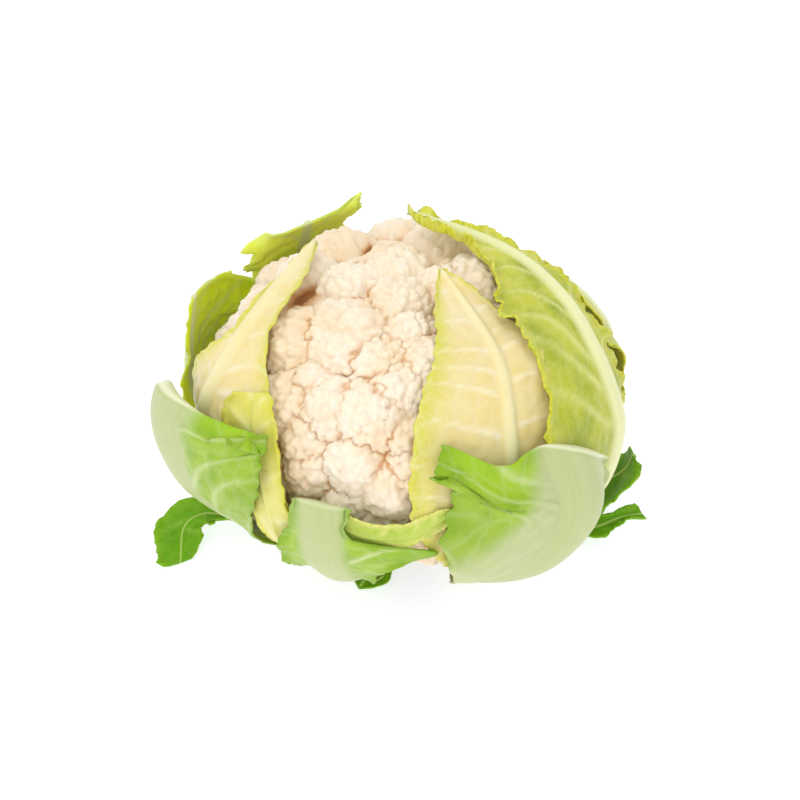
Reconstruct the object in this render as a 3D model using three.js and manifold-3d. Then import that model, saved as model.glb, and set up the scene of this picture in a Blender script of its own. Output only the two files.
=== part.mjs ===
// A trimmed cauliflower head that stands on its cut stalk: one curd, one stalk and the leaves that wrap it.
// Millimetres, +Z up. The origin is the centre of the cut face that the stalk stands on, and -Y is the front.
import * as THREE from "three";
import { mergeVertices } from "three/addons/utils/BufferGeometryUtils.js";
import Module from "manifold-3d";

const wasm = await Module();
wasm.setup();

// The head is the smooth surface that the florets reach and the leaves follow, round its own centre.
const HEAD = { radius: 87, rise: 67, drop: 62, centreHeight: 70, squareness: 2.3 };
const CORE = { radius: 72, rise: 53, drop: 38 };
const STALK = { height: 35, footRadius: 20.5, topRadius: 25, bevel: 1.5 };
const CLEARANCE = 0.35;

// Florets: the rings of the whole dome follow the golden angle, and the front ones lie as grown.
const FLORETS = { spiralCount: 46, lowestDeg: -26, radius: 17, flatness: 1, keepApart: 0.92 };
const BUDS = { count: 16, radius: 0.42, proud: 0.16, capDeg: 78 };
const CURD_MESH = { detail: 17, crowding: 1.3 };
const GOLDEN_ANGLE = Math.PI * (3 - Math.sqrt(5));

// Front florets: [azimuth deg, elevation deg, radius mm], azimuth 0 at the front and 90 at +X.
const FRONT_FLORETS = [
  [-47, 54, 19],
  [-110, 66, 13],
  [-168, 70, 15],
  [-13, 84, 14],
  [9, 64, 11],
  [-14, 51, 12],
  [-2, 42, 13],
  [-42, 38, 8],
  [104, 69, 13],
  [72, 60, 8],
  [-120, 43, 12],
  [-13, 33, 15],
  [-31, 32, 13],
  [-35, 22, 11],
  [-31, 13, 11],
  [-16, 19, 12],
  [-3, 12, 13],
  [-18, 6, 9],
  [2, 28, 8],
  [4, -3, 9],
];

const CENTRE = new THREE.Vector3(0, 0, HEAD.centreHeight);
const COLOURS = {
  curd: 0xf3e6cf,
  stalk: 0xdfe3c0,
  inner: 0xe9e2a0,
  outer: 0xb9c95a,
  trimmed: 0xb9d083,
  low: 0x6fa02a,
};

// A repeatable number from 0 to 1 for the whole number k.
function chance(k) {
  const x = Math.sin(k * 12.9898 + 4.1414) * 43758.5453;
  return x - Math.floor(x);
}

function polar(azimuthDeg, elevationDeg) {
  const a = THREE.MathUtils.degToRad(azimuthDeg);
  const e = THREE.MathUtils.degToRad(elevationDeg);
  return new THREE.Vector3(Math.sin(a) * Math.cos(e), -Math.cos(a) * Math.cos(e), Math.sin(e));
}

// The distance from the head's centre to a rounded body's surface in the direction d.
function reach(body, d, power = HEAD.squareness) {
  const p = d.z > 0 ? power : 2;
  const side = Math.hypot(d.x, d.y) / body.radius;
  const end = Math.abs(d.z) / (d.z > 0 ? body.rise : body.drop);
  return (side ** p + end ** p) ** (-1 / p);
}

// The curd

// The domes of the florets: a direction and a radius each, front ones first.
function floretDomes() {
  const domes = FRONT_FLORETS.map(([az, el, r]) => ({ d: polar(az, el), r }));
  const lowest = Math.sin(THREE.MathUtils.degToRad(FLORETS.lowestDeg));
  for (let k = 0; k < FLORETS.spiralCount; k++) {
    const up = 1 - ((1 - lowest) * (k + 0.5)) / FLORETS.spiralCount;
    const el = THREE.MathUtils.radToDeg(Math.asin(up)) + 4 * (chance(k) - 0.5);
    const d = polar(THREE.MathUtils.radToDeg(k * GOLDEN_ANGLE) + 6 * (chance(k + 70) - 0.5), el);
    const r = FLORETS.radius * (0.78 + 0.3 * chance(k + 140));
    const clear = domes.every((o) => {
      const apart = d.angleTo(o.d) * reach(HEAD, d);
      return apart > FLORETS.keepApart * Math.max(o.r, 8) + 0.35 * r;
    });
    if (clear) domes.push({ d, r });
  }
  return domes;
}

// The balls that make the curd's surface: a flat dome for each floret, and buds spread over it.
function curdBalls() {
  const balls = [];
  floretDomes().forEach(({ d, r }, n) => {
    const ball = r * FLORETS.flatness;
    const top = reach(HEAD, d) - 0.28 * Math.max(0, 18 - r);
    const centre = d.clone().multiplyScalar(top + 1.5 - ball * (1 + BUDS.proud));
    balls.push({ centre, radius: ball });
    const cap = 1 - Math.cos(THREE.MathUtils.degToRad(BUDS.capDeg));
    const turn = new THREE.Quaternion().setFromUnitVectors(new THREE.Vector3(0, 0, 1), d);
    for (let k = 0; k < BUDS.count; k++) {
      const key = 1000 + n * 97 + k;
      const z = 1 - (cap * (k + 0.5)) / BUDS.count;
      const a = k * GOLDEN_ANGLE + n;
      const s = Math.sqrt(1 - z * z);
      const outward = new THREE.Vector3(s * Math.cos(a), s * Math.sin(a), z).applyQuaternion(turn);
      const radius = BUDS.radius * ball * (0.8 + 0.4 * chance(key));
      const place = centre.clone().addScaledVector(outward, ball * (1 + BUDS.proud) - radius);
      balls.push({ centre: place, radius });
    }
  });
  return balls;
}

// The furthest crossing of the ray along d with any ball, from the head's centre.
function curdReach(balls, d) {
  let far = reach(CORE, d);
  const under = Math.max(0, -THREE.MathUtils.radToDeg(Math.asin(d.z)));
  for (const { centre, radius } of balls) {
    const along = centre.dot(d);
    const inside = radius * radius - (centre.lengthSq() - along * along);
    if (inside > 0) far = Math.max(far, along + Math.sqrt(inside));
  }
  const open = THREE.MathUtils.smoothstep(d.z, -0.09, 0.31);
  return Math.min(far, reach(HEAD, d) + 0.8 + 2 * open - 0.004 * under ** 2);
}

function curdGeometry() {
  const ball = new THREE.IcosahedronGeometry(1, CURD_MESH.detail);
  ball.deleteAttribute("normal");
  ball.deleteAttribute("uv");
  const geometry = mergeVertices(ball, 1e-5);
  const balls = curdBalls();
  const place = geometry.getAttribute("position");
  const d = new THREE.Vector3();
  for (let i = 0; i < place.count; i++) {
    d.fromBufferAttribute(place, i);
    const downShare = Math.acos(THREE.MathUtils.clamp(d.z, -1, 1)) / Math.PI;
    const fromTop = Math.PI * downShare ** CURD_MESH.crowding;
    d.setFromSphericalCoords(1, fromTop, Math.atan2(d.y, d.x));
    d.set(d.z, d.x, d.y).multiplyScalar(curdReach(balls, d)).add(CENTRE);
    place.setXYZ(i, d.x, d.y, Math.max(d.z, STALK.height + CLEARANCE));
  }
  return geometry;
}

function stalkGeometry() {
  const { height, footRadius, topRadius, bevel } = STALK;
  const outline = [
    [0, 0],
    [footRadius - bevel, 0],
    [footRadius, bevel],
    [footRadius + 2.5, 0.4 * height],
    [topRadius, height],
    [0, height],
  ];
  return new THREE.LatheGeometry(outline.map(([r, z]) => new THREE.Vector2(r, z)), 28).rotateX(Math.PI / 2);
}

// The leaves. Each has a midrib through knots [azimuth deg, elevation deg, mm off the head] from its base to
// its end. left and right are the half-widths at the knots, seen from outside with the end up. rib and
// ribHeight run from base to end. sweep turns a side's veins towards the end, and from is the share of the
// length where that starts. lift raises a side's edge off the head, and dip sinks the end of the left side
// at one share of its width. A leaf that lies on the table has the height of its edges in lies.
const LEAVES = [
  {
    name: "leaf_inner_left",
    colour: "inner",
    knots: [
      [-52, -60.5, -16.6], [-56, -38.5, 0.6], [-64, -12, 2.6], [-70, 10, 4.4], [-71, 24, 4.5],
      [-76, 36.5, 4.5], [-90, 48.5, 4.5], [-128, 53.5, 5],
    ],
    left: [9, 12, 20, 27, 21, 9, 5, 3.5],
    right: [9, 14, 52, 52, 40, 19, 11, 5],
    rib: [8, 3],
    ribHeight: [4.5, 1.6],
    wave: { count: 5, height: 0.7 },
    grid: [15, 5],
  },
  {
    name: "leaf_inner_right",
    colour: "inner",
    knots: [
      [28, -60.5, -16.6], [28, -38.5, 0.6], [29, -12, 2.6], [30, 8.5, 4.4], [34, 28, 4.5],
      [44, 47.5, 4.5], [96, 77, 4.8],
    ],
    left: [8, 14, 40, 43.5, 41, 28, 4],
    right: [8, 14, 18, 22, 22, 19, 3],
    rib: [7, 1.5],
    ribHeight: [4, 0.8],
    wave: { count: 5, height: 0.6 },
    grid: [15, 5],
  },
  {
    name: "leaf_inner_front",
    colour: "inner",
    knots: [
      [-24, -60.5, -16.6], [-24, -38.5, 0.6], [-23, -14, 2.4], [-20, 1, 3.2], [-9, 4.2, 4.2],
      [2, 4.5, 5.8], [14, 7.6, 7.4],
    ],
    left: [5, 8, 9, 9, 8, 7, 5],
    right: [5, 7, 8, 8, 7, 5, 4],
    rib: [2, 1],
    ribHeight: [0.8, 0.3],
    wave: { count: 3, height: 0.4 },
    grid: [14, 3],
  },
  {
    name: "leaf_inner_back",
    colour: "inner",
    knots: [[168, -60.5, -16.6], [168, -38.5, 0.6], [168, -13, 3], [168, 5, 4.3], [170, 17, 4]],
    left: [9, 14, 36, 46, 30],
    right: [9, 14, 36, 46, 30],
    rib: [8, 2.5],
    ribHeight: [4, 1.5],
    wave: { count: 4, height: 0.8 },
    grid: [11, 4],
  },
  {
    name: "leaf_small_left",
    colour: "inner",
    knots: [
      [-34, -63.5, -10.5], [-35, -40, 1.5], [-35, -14, 4.4], [-38, 6, 6], [-45, 21, 6.4],
      [-51, 31, 6.4],
    ],
    left: [4, 5, 8, 14, 18, 18],
    right: [4, 5, 8, 12, 12, 9],
    rib: [3, 1],
    ribHeight: [1.2, 0.5],
    wave: { count: 4, height: 0.6 },
    grid: [12, 3],
  },
  {
    name: "leaf_outer_right",
    colour: "outer",
    knots: [
      [66, -65, -6.5], [68, -41.5, 8], [71, -17.5, 9], [74, 2.5, 9], [76, 16, 7.6], [81, 27, 6.6],
      [92, 36.5, 5.8], [108, 46, 5.4], [130, 55.5, 6], [176, 60, 9.5],
    ],
    left: [9, 14, 28, 52, 54, 41, 44, 32, 16, 6],
    right: [9, 12, 14, 16, 16, 15, 14, 10, 6, 4],
    rib: [10, 2],
    ribHeight: [6.5, 1.2],
    wave: { count: 8, height: 1.1 },
    grid: [20, 5],
  },
  {
    name: "leaf_back_right",
    colour: "outer",
    knots: [
      [112, -65, -6.5], [112, -41.5, 8], [111, -17, 10.5], [110, 2.5, 12], [111, 16, 7.5],
      [115, 26, 4.2], [121, 33, 3.4],
    ],
    left: [9, 13, 22, 26, 24, 18, 8],
    right: [9, 13, 30, 40, 38, 28, 8],
    rib: [9, 2],
    ribHeight: [5.5, 1],
    wave: { count: 7, height: 1.2 },
    grid: [15, 4],
  },
  {
    name: "leaf_outer_left",
    colour: "low",
    knots: [
      [-102, -65, -6.5], [-102, -42, 8], [-102, -21.5, 11], [-102, -7, 11.5], [-103, 7, 11],
      [-107, 20, 16],
    ],
    left: [9, 14, 28, 46, 54, 52],
    right: [9, 12, 12, 10, 6, 4],
    rib: [8, 2],
    ribHeight: [5.5, 1],
    sweep: { left: [0, -3], right: [0, 0] },
    lift: [-2, 0],
    wave: { count: 3, height: 1.2 },
    grid: [13, 4],
  },
  {
    name: "leaf_back_left",
    colour: "low",
    knots: [
      [-152, -65, -6.5], [-152, -42, 8], [-152, -17, 9], [-151, 3.5, 9], [-150, 17, 8], [-149, 27, 8.5],
    ],
    left: [9, 13, 22, 28, 30, 30],
    right: [9, 13, 22, 26, 28, 28],
    rib: [9, 2],
    ribHeight: [5.5, 1],
    sweep: { left: [0, 35], right: [0, -5] },
    lift: [2, -1],
    wave: { count: 5, height: 2.4 },
    grid: [16, 4],
  },
  {
    name: "leaf_trimmed_front",
    colour: "trimmed",
    knots: [
      [-20, -65, -6.5], [-20, -44.5, 3.4], [-21, -27, 4.7], [-21, -12, 5.6], [-21, -1.5, 6.3],
      [-21, 2.5, 6.6], [-21, 12, 7.5],
    ],
    left: [9, 15, 19, 20, 17, 13, 12],
    right: [9, 13, 16, 25, 49, 13, 13],
    rib: [8.5, 11],
    ribHeight: [5, 2.5],
    lift: [3, 0],
    wave: { count: 2, height: 0.6 },
    grid: [15, 4],
  },
  {
    name: "leaf_trimmed_left",
    colour: "trimmed",
    knots: [
      [-60, -68.5, 2.5], [-70, -42, 9], [-75, -18, 13], [-78, -5.5, 16], [-80, 4, 17.5],
      [-80, 13, 16.5],
    ],
    left: [8, 13, 14, 14, 14, 13],
    right: [8, 32, 76, 86, 82, 69],
    rib: [10, 25],
    ribHeight: [6.5, 6.5],
    sweep: { left: [-20, -35], right: [24, 20] },
    lift: [1, -4],
    wave: { count: 3, height: 1 },
    grid: [13, 5],
  },
  {
    name: "leaf_trimmed_right",
    colour: "trimmed",
    knots: [
      [16, -66, -2], [23, -52, 5], [34, -37, 9], [44, -21, 12.8], [49.5, -3, 13.8], [49, 17, 13.5],
    ],
    left: [10, 24, 52, 66, 74, 66],
    right: [8, 16, 22, 24, 24, 24],
    rib: [17, 19],
    ribHeight: [6.5, 7],
    sweep: { left: [38, 31], right: [-40, -46], from: 0.25 },
    lift: [-2.5, 0],
    dip: { at: 0.64, wide: 0.2, depth: 15, rise: 2 },
    wave: { count: 3, height: 1.2 },
    grid: [14, 6],
  },
  {
    name: "leaf_low_left",
    colour: "low",
    knots: [
      [-88, -69.1, 4.5], [-81, -52.7, 14], [-79, -43, 20.8], [-80.5, -36.6, 27], [-81, -32.6, 33.5],
      [-78, -31.2, 41.5], [-70.5, -33, 50.5],
    ],
    left: [3, 3, 3, 6, 11, 13, 10],
    right: [3, 3, 3, 5, 9, 11, 10],
    rib: [2.6, 1],
    ribHeight: [1.8, 0.6],
    sweep: { left: [0, 9], right: [0, -3] },
    lies: 1,
    wave: { count: 3, height: 1 },
    grid: [14, 3],
  },
  {
    name: "leaf_low_right",
    colour: "low",
    knots: [
      [93, -68.5, 2.5], [91, -47, 14.3], [88, -32, 22.3], [87, -25, 26], [87, -20.5, 27], [88, -17, 26],
    ],
    left: [6, 9, 13, 18, 16, 10],
    right: [6, 8, 10, 13, 13, 10],
    rib: [5.5, 2],
    ribHeight: [4.5, 1],
    wave: { count: 3, height: 2 },
    grid: [11, 3],
  },
  {
    name: "leaf_low_right_tip",
    colour: "low",
    knots: [
      [68, -69.1, 4.5], [72, -48.7, 17.9], [76, -38.9, 28.8], [78, -34.7, 34.8], [81.5, -31.1, 40.5],
      [82.5, -28.0, 46.7],
    ],
    left: [4, 4.5, 5, 7, 3, 5],
    right: [4, 4.5, 5, 7, 3, 5],
    rib: [3.5, 1.2],
    ribHeight: [2, 0.6],
    lies: 1,
    wave: { count: 2, height: 1 },
    grid: [10, 3],
  },
  {
    name: "leaf_low_front",
    colour: "low",
    knots: [[-18, -69.2, 5.0], [-18, -58.9, 10.8], [-19, -53.3, 15.5], [-20, -50.4, 18.6]],
    left: [5, 8, 8, 2],
    right: [5, 9, 9, 2],
    rib: [3, 1.2],
    ribHeight: [1.2, 0.3],
    lies: 0.6,
    wave: { count: 2, height: 0.4 },
    grid: [6, 2],
  },
  {
    name: "leaf_trimmed_back",
    colour: "trimmed",
    knots: [
      [-170, -68.5, 2.5], [-172, -48, 10], [-174, -28.5, 12], [-175, -12.5, 12.6], [-175, -1, 12.6],
      [-175, 7, 12.6],
    ],
    left: [8, 14, 20, 30, 34, 26],
    right: [8, 14, 20, 30, 34, 26],
    rib: [8, 12],
    ribHeight: [6.5, 6],
    wave: { count: 3, height: 1 },
    grid: [12, 4],
  },
  {
    name: "leaf_trimmed_back_left",
    colour: "trimmed",
    knots: [
      [-126, -68.5, 2.5], [-127, -48, 12], [-128, -28.5, 14], [-129, -13.5, 14.5], [-129, -4, 15],
    ],
    left: [8, 13, 16, 20, 17],
    right: [8, 13, 16, 20, 17],
    rib: [8, 12],
    ribHeight: [6.5, 6],
    wave: { count: 2, height: 0.8 },
    grid: [10, 3],
  },
  {
    name: "leaf_trimmed_back_right",
    colour: "trimmed",
    knots: [
      [140, -68.5, 2.5], [140, -48, 10], [140, -28.5, 13], [139, -13.5, 13.5], [138, -1, 13],
      [138, 4.5, 13],
    ],
    left: [8, 14, 20, 32, 36, 28],
    right: [8, 13, 17, 22, 20, 18],
    rib: [8, 12],
    ribHeight: [6.5, 6],
    wave: { count: 3, height: 1 },
    grid: [12, 4],
  },
];

const BLADE = { thickness: 1.2, edgePower: 2, waveFrom: 0.25, waveFull: 0.5 };
const SAMPLES = 240;

// Catmull-Rom through the rows of values, at t from 0 to the last row's number.
function smooth(rows, t) {
  const last = rows.length - 1;
  const i = Math.min(Math.floor(t), last - 1);
  const f = t - i;
  const row = (k) => {
    if (k < 0) return rows[0].map((x, n) => 2 * x - rows[1][n]);
    if (k > last) return rows[last].map((x, n) => 2 * x - rows[last - 1][n]);
    return rows[k];
  };
  const [a, b, c, d] = [row(i - 1), row(i), row(i + 1), row(i + 2)];
  return b.map((x, n) => {
    const bend = 2 * a[n] - 5 * x + 4 * c[n] - d[n];
    const twist = 3 * (x - c[n]) + d[n] - a[n];
    return x + 0.5 * f * (c[n] - a[n] + f * (bend + f * twist));
  });
}

const mix = (a, b, f) => a + (b - a) * f;

// The leaf's midrib as rows [x, y, z, left, right], and the knot number at each even step of its length.
function midrib(leaf) {
  const rows = leaf.knots.map(([az, el, off], k) => {
    const d = polar(az, el);
    d.multiplyScalar(reach(HEAD, d) + off).add(CENTRE);
    return [d.x, d.y, d.z, leaf.left[k], leaf.right[k]];
  });
  const lengths = [0];
  let before = smooth(rows, 0);
  for (let k = 1; k <= SAMPLES; k++) {
    const now = smooth(rows, (k / SAMPLES) * (rows.length - 1));
    lengths.push(lengths[k - 1] + Math.hypot(now[0] - before[0], now[1] - before[1], now[2] - before[2]));
    before = now;
  }
  const knotAt = (q) => {
    const wanted = q * lengths[SAMPLES];
    let k = 1;
    while (k < SAMPLES && lengths[k] < wanted) k++;
    const part = (wanted - lengths[k - 1]) / (lengths[k] - lengths[k - 1]);
    return ((k - 1 + part) / SAMPLES) * (rows.length - 1);
  };
  return { rows, knotAt };
}

// The point of the leaf's middle surface at q along its length, and share of the half-width to one side.
function bladePoint(leaf, line, q, side, across) {
  const t = line.knotAt(q);
  const [x, y, z, left, right] = smooth(line.rows, t);
  const step = 0.02;
  const behind = smooth(line.rows, Math.max(t - step, 0));
  const ahead = smooth(line.rows, Math.min(t + step, line.rows.length - 1));
  const out = new THREE.Vector3(x, y, z).sub(CENTRE);
  const far = out.length();
  out.divideScalar(far);
  const along = new THREE.Vector3(ahead[0] - behind[0], ahead[1] - behind[1], ahead[2] - behind[2]);
  along.addScaledVector(out, -along.dot(out)).normalize();
  const aside = along.clone().cross(out).multiplyScalar(side);
  const half = Math.max(side < 0 ? left : right, 1);
  const share = across / half;
  const [near, edgeSweep] = leaf.sweep?.[side < 0 ? "left" : "right"] ?? [0, 0];
  const turned = leaf.sweep?.from ? THREE.MathUtils.smoothstep(q, leaf.sweep.from, 0.8) : 1;
  const sweep = turned * THREE.MathUtils.degToRad(mix(near, edgeSweep, share));
  const lift = (leaf.lift ?? [0, 0])[side < 0 ? 0 : 1];
  const angle = across / far;
  const d = out.clone().multiplyScalar(Math.cos(angle));
  d.addScaledVector(aside, Math.sin(angle) * Math.cos(sweep));
  d.addScaledVector(along, Math.sin(angle) * Math.sin(sweep)).normalize();
  const grow = THREE.MathUtils.smoothstep(q, BLADE.waveFrom, BLADE.waveFull);
  const turns = 2 * Math.PI * leaf.wave.count * q + (side < 0 ? 0.6 : 2.4);
  const wave = leaf.wave.height * grow * share ** 2 * Math.sin(turns);
  const edge = lift * THREE.MathUtils.smoothstep(q, 0.15, 0.5) * share ** BLADE.edgePower;
  if (leaf.lies) {
    const away = out.clone().lerp(new THREE.Vector3(0, 0, -1), THREE.MathUtils.smoothstep(q, 0.1, 0.5));
    const flatAside = along.clone().cross(away.normalize()).normalize().multiplyScalar(side);
    const place = new THREE.Vector3(x, y, z).addScaledVector(flatAside, across);
    return place.addScaledVector(away, -leaf.lies * share ** 2 - wave * share);
  }
  let fold = 0;
  if (leaf.dip && side < 0) {
    const bell = Math.exp(-(((share - leaf.dip.at) / leaf.dip.wide) ** 2));
    fold = bell * THREE.MathUtils.smoothstep(q, 0.55, 1);
    d.addScaledVector(along, (-leaf.dip.depth * fold) / far).normalize();
  }
  const raised = reach(HEAD, d) + far - reach(HEAD, out) + edge + wave + fold * (leaf.dip?.rise ?? 0);
  return d.clone().multiplyScalar(raised).add(CENTRE);
}

// Distances from the midrib of the columns on one side, from 0 to the edge, and how much of the rib each has.
function columns(half, ribHalf, count) {
  const made = [[0, 1]];
  if (count > 3) made.push([0.6 * ribHalf, 0.8]);
  const cells = count - made.length;
  for (let k = 0; k <= cells; k++) made.push([mix(ribHalf, half, k / cells), 0]);
  return made;
}

// A closed leaf: an outer face that carries the rib, an inner face, and a rim between them.
function leafGeometry(leaf, extra = 0) {
  const line = midrib(leaf);
  const [rows, half] = leaf.grid;
  const wide = 2 * half + 1;
  const middle = [];
  const swell = [];
  for (let i = 0; i <= rows; i++) {
    const q = i / rows;
    const [, , , left, right] = smooth(line.rows, line.knotAt(q));
    for (let j = -half; j <= half; j++) {
      const side = j < 0 ? -1 : 1;
      const width = Math.max(j < 0 ? left : right, 1);
      const ribHalf = Math.min(mix(leaf.rib[0], leaf.rib[1], q), width - 0.6);
      const [across, raised] = columns(width + extra, ribHalf, half)[Math.abs(j)];
      middle.push(bladePoint(leaf, line, q, side, across));
      swell.push(raised * mix(leaf.ribHeight[0], leaf.ribHeight[1], q));
    }
  }
  const { clamp } = THREE.MathUtils;
  const at = (i, j) => middle[clamp(i, 0, rows) * wide + clamp(j, 0, wide - 1)];
  const places = [];
  const thick = BLADE.thickness / 2 + extra;
  for (const face of [1, -1]) {
    for (let i = 0; i <= rows; i++) {
      for (let j = 0; j < wide; j++) {
        const u = at(i + 1, j).clone().sub(at(i - 1, j));
        const v = at(i, j + 1).clone().sub(at(i, j - 1));
        const normal = v.cross(u).normalize();
        const raised = face > 0 ? thick + swell[i * wide + j] : -thick;
        places.push(...at(i, j).clone().addScaledVector(normal, raised).toArray());
      }
    }
  }
  const inner = (rows + 1) * wide;
  const faces = [];
  const quad = (a, b, c, d) => faces.push(a, b, c, a, c, d);
  for (let i = 0; i < rows; i++) {
    for (let j = 0; j < wide - 1; j++) {
      const [a, b, c, d] = [i * wide + j, i * wide + j + 1, (i + 1) * wide + j + 1, (i + 1) * wide + j];
      quad(a, b, c, d);
      faces.push(inner + a, inner + c, inner + b, inner + a, inner + d, inner + c);
    }
  }
  for (let i = 0; i < rows; i++) {
    const [a, b] = [i * wide, (i + 1) * wide];
    quad(a, b, inner + b, inner + a);
    quad(b + wide - 1, a + wide - 1, inner + a + wide - 1, inner + b + wide - 1);
  }
  for (let j = 0; j < wide - 1; j++) {
    const end = rows * wide + j;
    quad(j + 1, j, inner + j, inner + j + 1);
    quad(end, end + 1, inner + end + 1, inner + end);
  }
  const geometry = new THREE.BufferGeometry();
  geometry.setAttribute("position", new THREE.Float32BufferAttribute(places, 3));
  geometry.setIndex(faces);
  return geometry;
}

function solid(geometry) {
  const bare = geometry.clone();
  bare.deleteAttribute("normal");
  bare.deleteAttribute("uv");
  const merged = mergeVertices(bare, 1e-4);
  const vertProperties = new Float32Array(merged.getAttribute("position").array);
  const triVerts = new Uint32Array(merged.index.array);
  return new wasm.Manifold(new wasm.Mesh({ numProp: 3, vertProperties, triVerts }));
}

function geometryOf(made) {
  const mesh = made.getMesh();
  const places = new Float32Array(mesh.numVert * 3);
  for (let i = 0; i < mesh.numVert; i++) {
    places.set(mesh.vertProperties.subarray(i * mesh.numProp, i * mesh.numProp + 3), i * 3);
  }
  const geometry = new THREE.BufferGeometry();
  geometry.setAttribute("position", new THREE.BufferAttribute(places, 3));
  geometry.setIndex(new THREE.BufferAttribute(mesh.triVerts, 1));
  return geometry;
}

// A leaf cut clear of the room that each piece under it needs, as its largest body.
function trimmed(made, rooms) {
  let kept = made;
  for (const room of rooms) {
    if (kept.intersect(room).volume() > 0) kept = kept.subtract(room);
  }
  return kept.decompose().sort((a, b) => b.volume() - a.volume())[0];
}

function mesh(name, geometry, colour, roughness) {
  geometry.computeVertexNormals();
  const finish = new THREE.MeshStandardMaterial({ color: colour, roughness, metalness: 0 });
  const made = new THREE.Mesh(geometry, finish);
  made.name = name;
  return made;
}

const cauliflower = new THREE.Group();
cauliflower.name = "cauliflower";
cauliflower.add(mesh("curd", curdGeometry(), COLOURS.curd, 0.6));
cauliflower.add(mesh("stalk", stalkGeometry(), COLOURS.stalk, 0.55));

const rooms = [solid(stalkGeometry().scale(1.016, 1.016, 1.02))];
for (const leaf of LEAVES) {
  const made = trimmed(solid(leafGeometry(leaf)), rooms);
  cauliflower.add(mesh(leaf.name, geometryOf(made), COLOURS[leaf.colour], 0.5));
  rooms.push(solid(leafGeometry(leaf, CLEARANCE)));
}

export default cauliflower;
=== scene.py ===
import math

import bmesh
import bpy
import numpy as np
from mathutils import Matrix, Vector, kdtree


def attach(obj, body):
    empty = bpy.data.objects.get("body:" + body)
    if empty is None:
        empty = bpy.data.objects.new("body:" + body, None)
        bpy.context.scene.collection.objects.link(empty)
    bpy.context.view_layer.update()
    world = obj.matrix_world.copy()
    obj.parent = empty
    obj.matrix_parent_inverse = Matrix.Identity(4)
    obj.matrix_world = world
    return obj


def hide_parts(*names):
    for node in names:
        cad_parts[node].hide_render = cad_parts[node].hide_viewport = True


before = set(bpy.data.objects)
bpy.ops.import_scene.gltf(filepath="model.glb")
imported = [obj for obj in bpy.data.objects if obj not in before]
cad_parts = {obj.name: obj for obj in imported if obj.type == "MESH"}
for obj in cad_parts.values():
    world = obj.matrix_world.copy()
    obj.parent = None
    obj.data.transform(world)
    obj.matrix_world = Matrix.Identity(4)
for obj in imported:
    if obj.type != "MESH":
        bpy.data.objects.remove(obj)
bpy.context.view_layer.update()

MM = 0.001

# The head's smooth surface and the core under its florets, in mm from CENTRE, as the solids have them
HEAD = {"radius": 87.0, "rise": 67.0, "drop": 62.0}
CORE = {"radius": 72.0, "rise": 53.0, "drop": 38.0}
SQUARENESS = 2.3
CENTRE = np.array([0.0, 0.0, 70.0])
# Height in mm of the curd's flat underside, just clear of the stalk
CURD_BOTTOM = 35.35
GOLDEN_ANGLE = math.pi * (3 - math.sqrt(5))
A_TURN = 6.28


def linear(hex_colour):
    """Linear RGBA from an sRGB hex colour."""
    parts = [int(hex_colour[k:k + 2], 16) / 255 for k in (1, 3, 5)]
    return [p / 12.92 if p <= 0.04045 else ((p + 0.055) / 1.055) ** 2.4 for p in parts] + [1.0]


def polar(azimuth_deg, elevation_deg):
    """Direction out of the head: azimuth 0 is the front and 90 is +X."""
    a, e = np.radians(azimuth_deg), np.radians(elevation_deg)
    return np.stack([np.sin(a) * np.cos(e), -np.cos(a) * np.cos(e), np.sin(e)], axis=-1)


def reach(body, d):
    """Distance from the head's centre to a rounded body's surface along each direction."""
    up = d[..., 2] > 0
    power = np.where(up, SQUARENESS, 2.0)
    side = np.hypot(d[..., 0], d[..., 1]) / body["radius"]
    end = np.abs(d[..., 2]) / np.where(up, body["rise"], body["drop"])
    return (side ** power + end ** power) ** (-1 / power)


def smoothstep(x, low, high):
    """0 below low, 1 above high, with a soft rise between."""
    f = np.clip((x - low) / (high - low), 0, 1)
    return f * f * (3 - 2 * f)


def chance(k):
    """A repeatable number from 0 to 1 for the whole number k."""
    x = math.sin(k * 12.9898 + 4.1414) * 43758.5453
    return x - math.floor(x)


def ripple(x, y, key):
    """A smooth, irregular height over the plane, mostly from -1 to 1: five waves of chance headings."""
    total = np.zeros(np.broadcast(x, y).shape)
    for n in range(5):
        a = A_TURN * chance(key + 11 * n)
        pace = 0.7 + 0.9 * chance(key + 11 * n + 3)
        start = A_TURN * chance(key + 11 * n + 5)
        total = total + np.sin(pace * (x * math.cos(a) + y * math.sin(a)) + start)
    return total / 3


def unit(v):
    """The vectors with length 1."""
    return v / np.maximum(np.linalg.norm(v, axis=-1, keepdims=True), 1e-9)


def keep(bm, name, material, places, marks, replaced):
    """A finished piece from a bmesh, its vertices' places in mm and its point attributes."""
    mesh = bpy.data.meshes.new(name)
    bm.to_mesh(mesh)
    bm.free()
    mesh.vertices.foreach_set("co", (places * MM).astype(np.float32).ravel())
    for key, values in marks.items():
        layer = mesh.attributes.new(key, "FLOAT", "POINT")
        layer.data.foreach_set("value", np.ascontiguousarray(values, dtype=np.float32))
    mesh.polygons.foreach_set("use_smooth", [True] * len(mesh.polygons))
    mesh.update()
    mesh.materials.append(material)
    piece = bpy.data.objects.new(name, mesh)
    bpy.context.scene.collection.objects.link(piece)
    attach(piece, "root")
    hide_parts(replaced)
    return piece


def node(tree, kind, inputs=None, **settings):
    """A node of the tree with its settings, and values or links for its inputs."""
    made = tree.nodes.new(kind)
    for key, value in settings.items():
        setattr(made, key, value)
    for key, value in (inputs or {}).items():
        if isinstance(value, bpy.types.NodeSocket):
            tree.links.new(value, made.inputs[key])
        else:
            made.inputs[key].default_value = value
    return made


def new_material(name):
    """An empty material and its node tree."""
    material = bpy.data.materials.new(name)
    material.use_nodes = True
    tree = material.node_tree
    tree.nodes.clear()
    return material, tree


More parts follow.
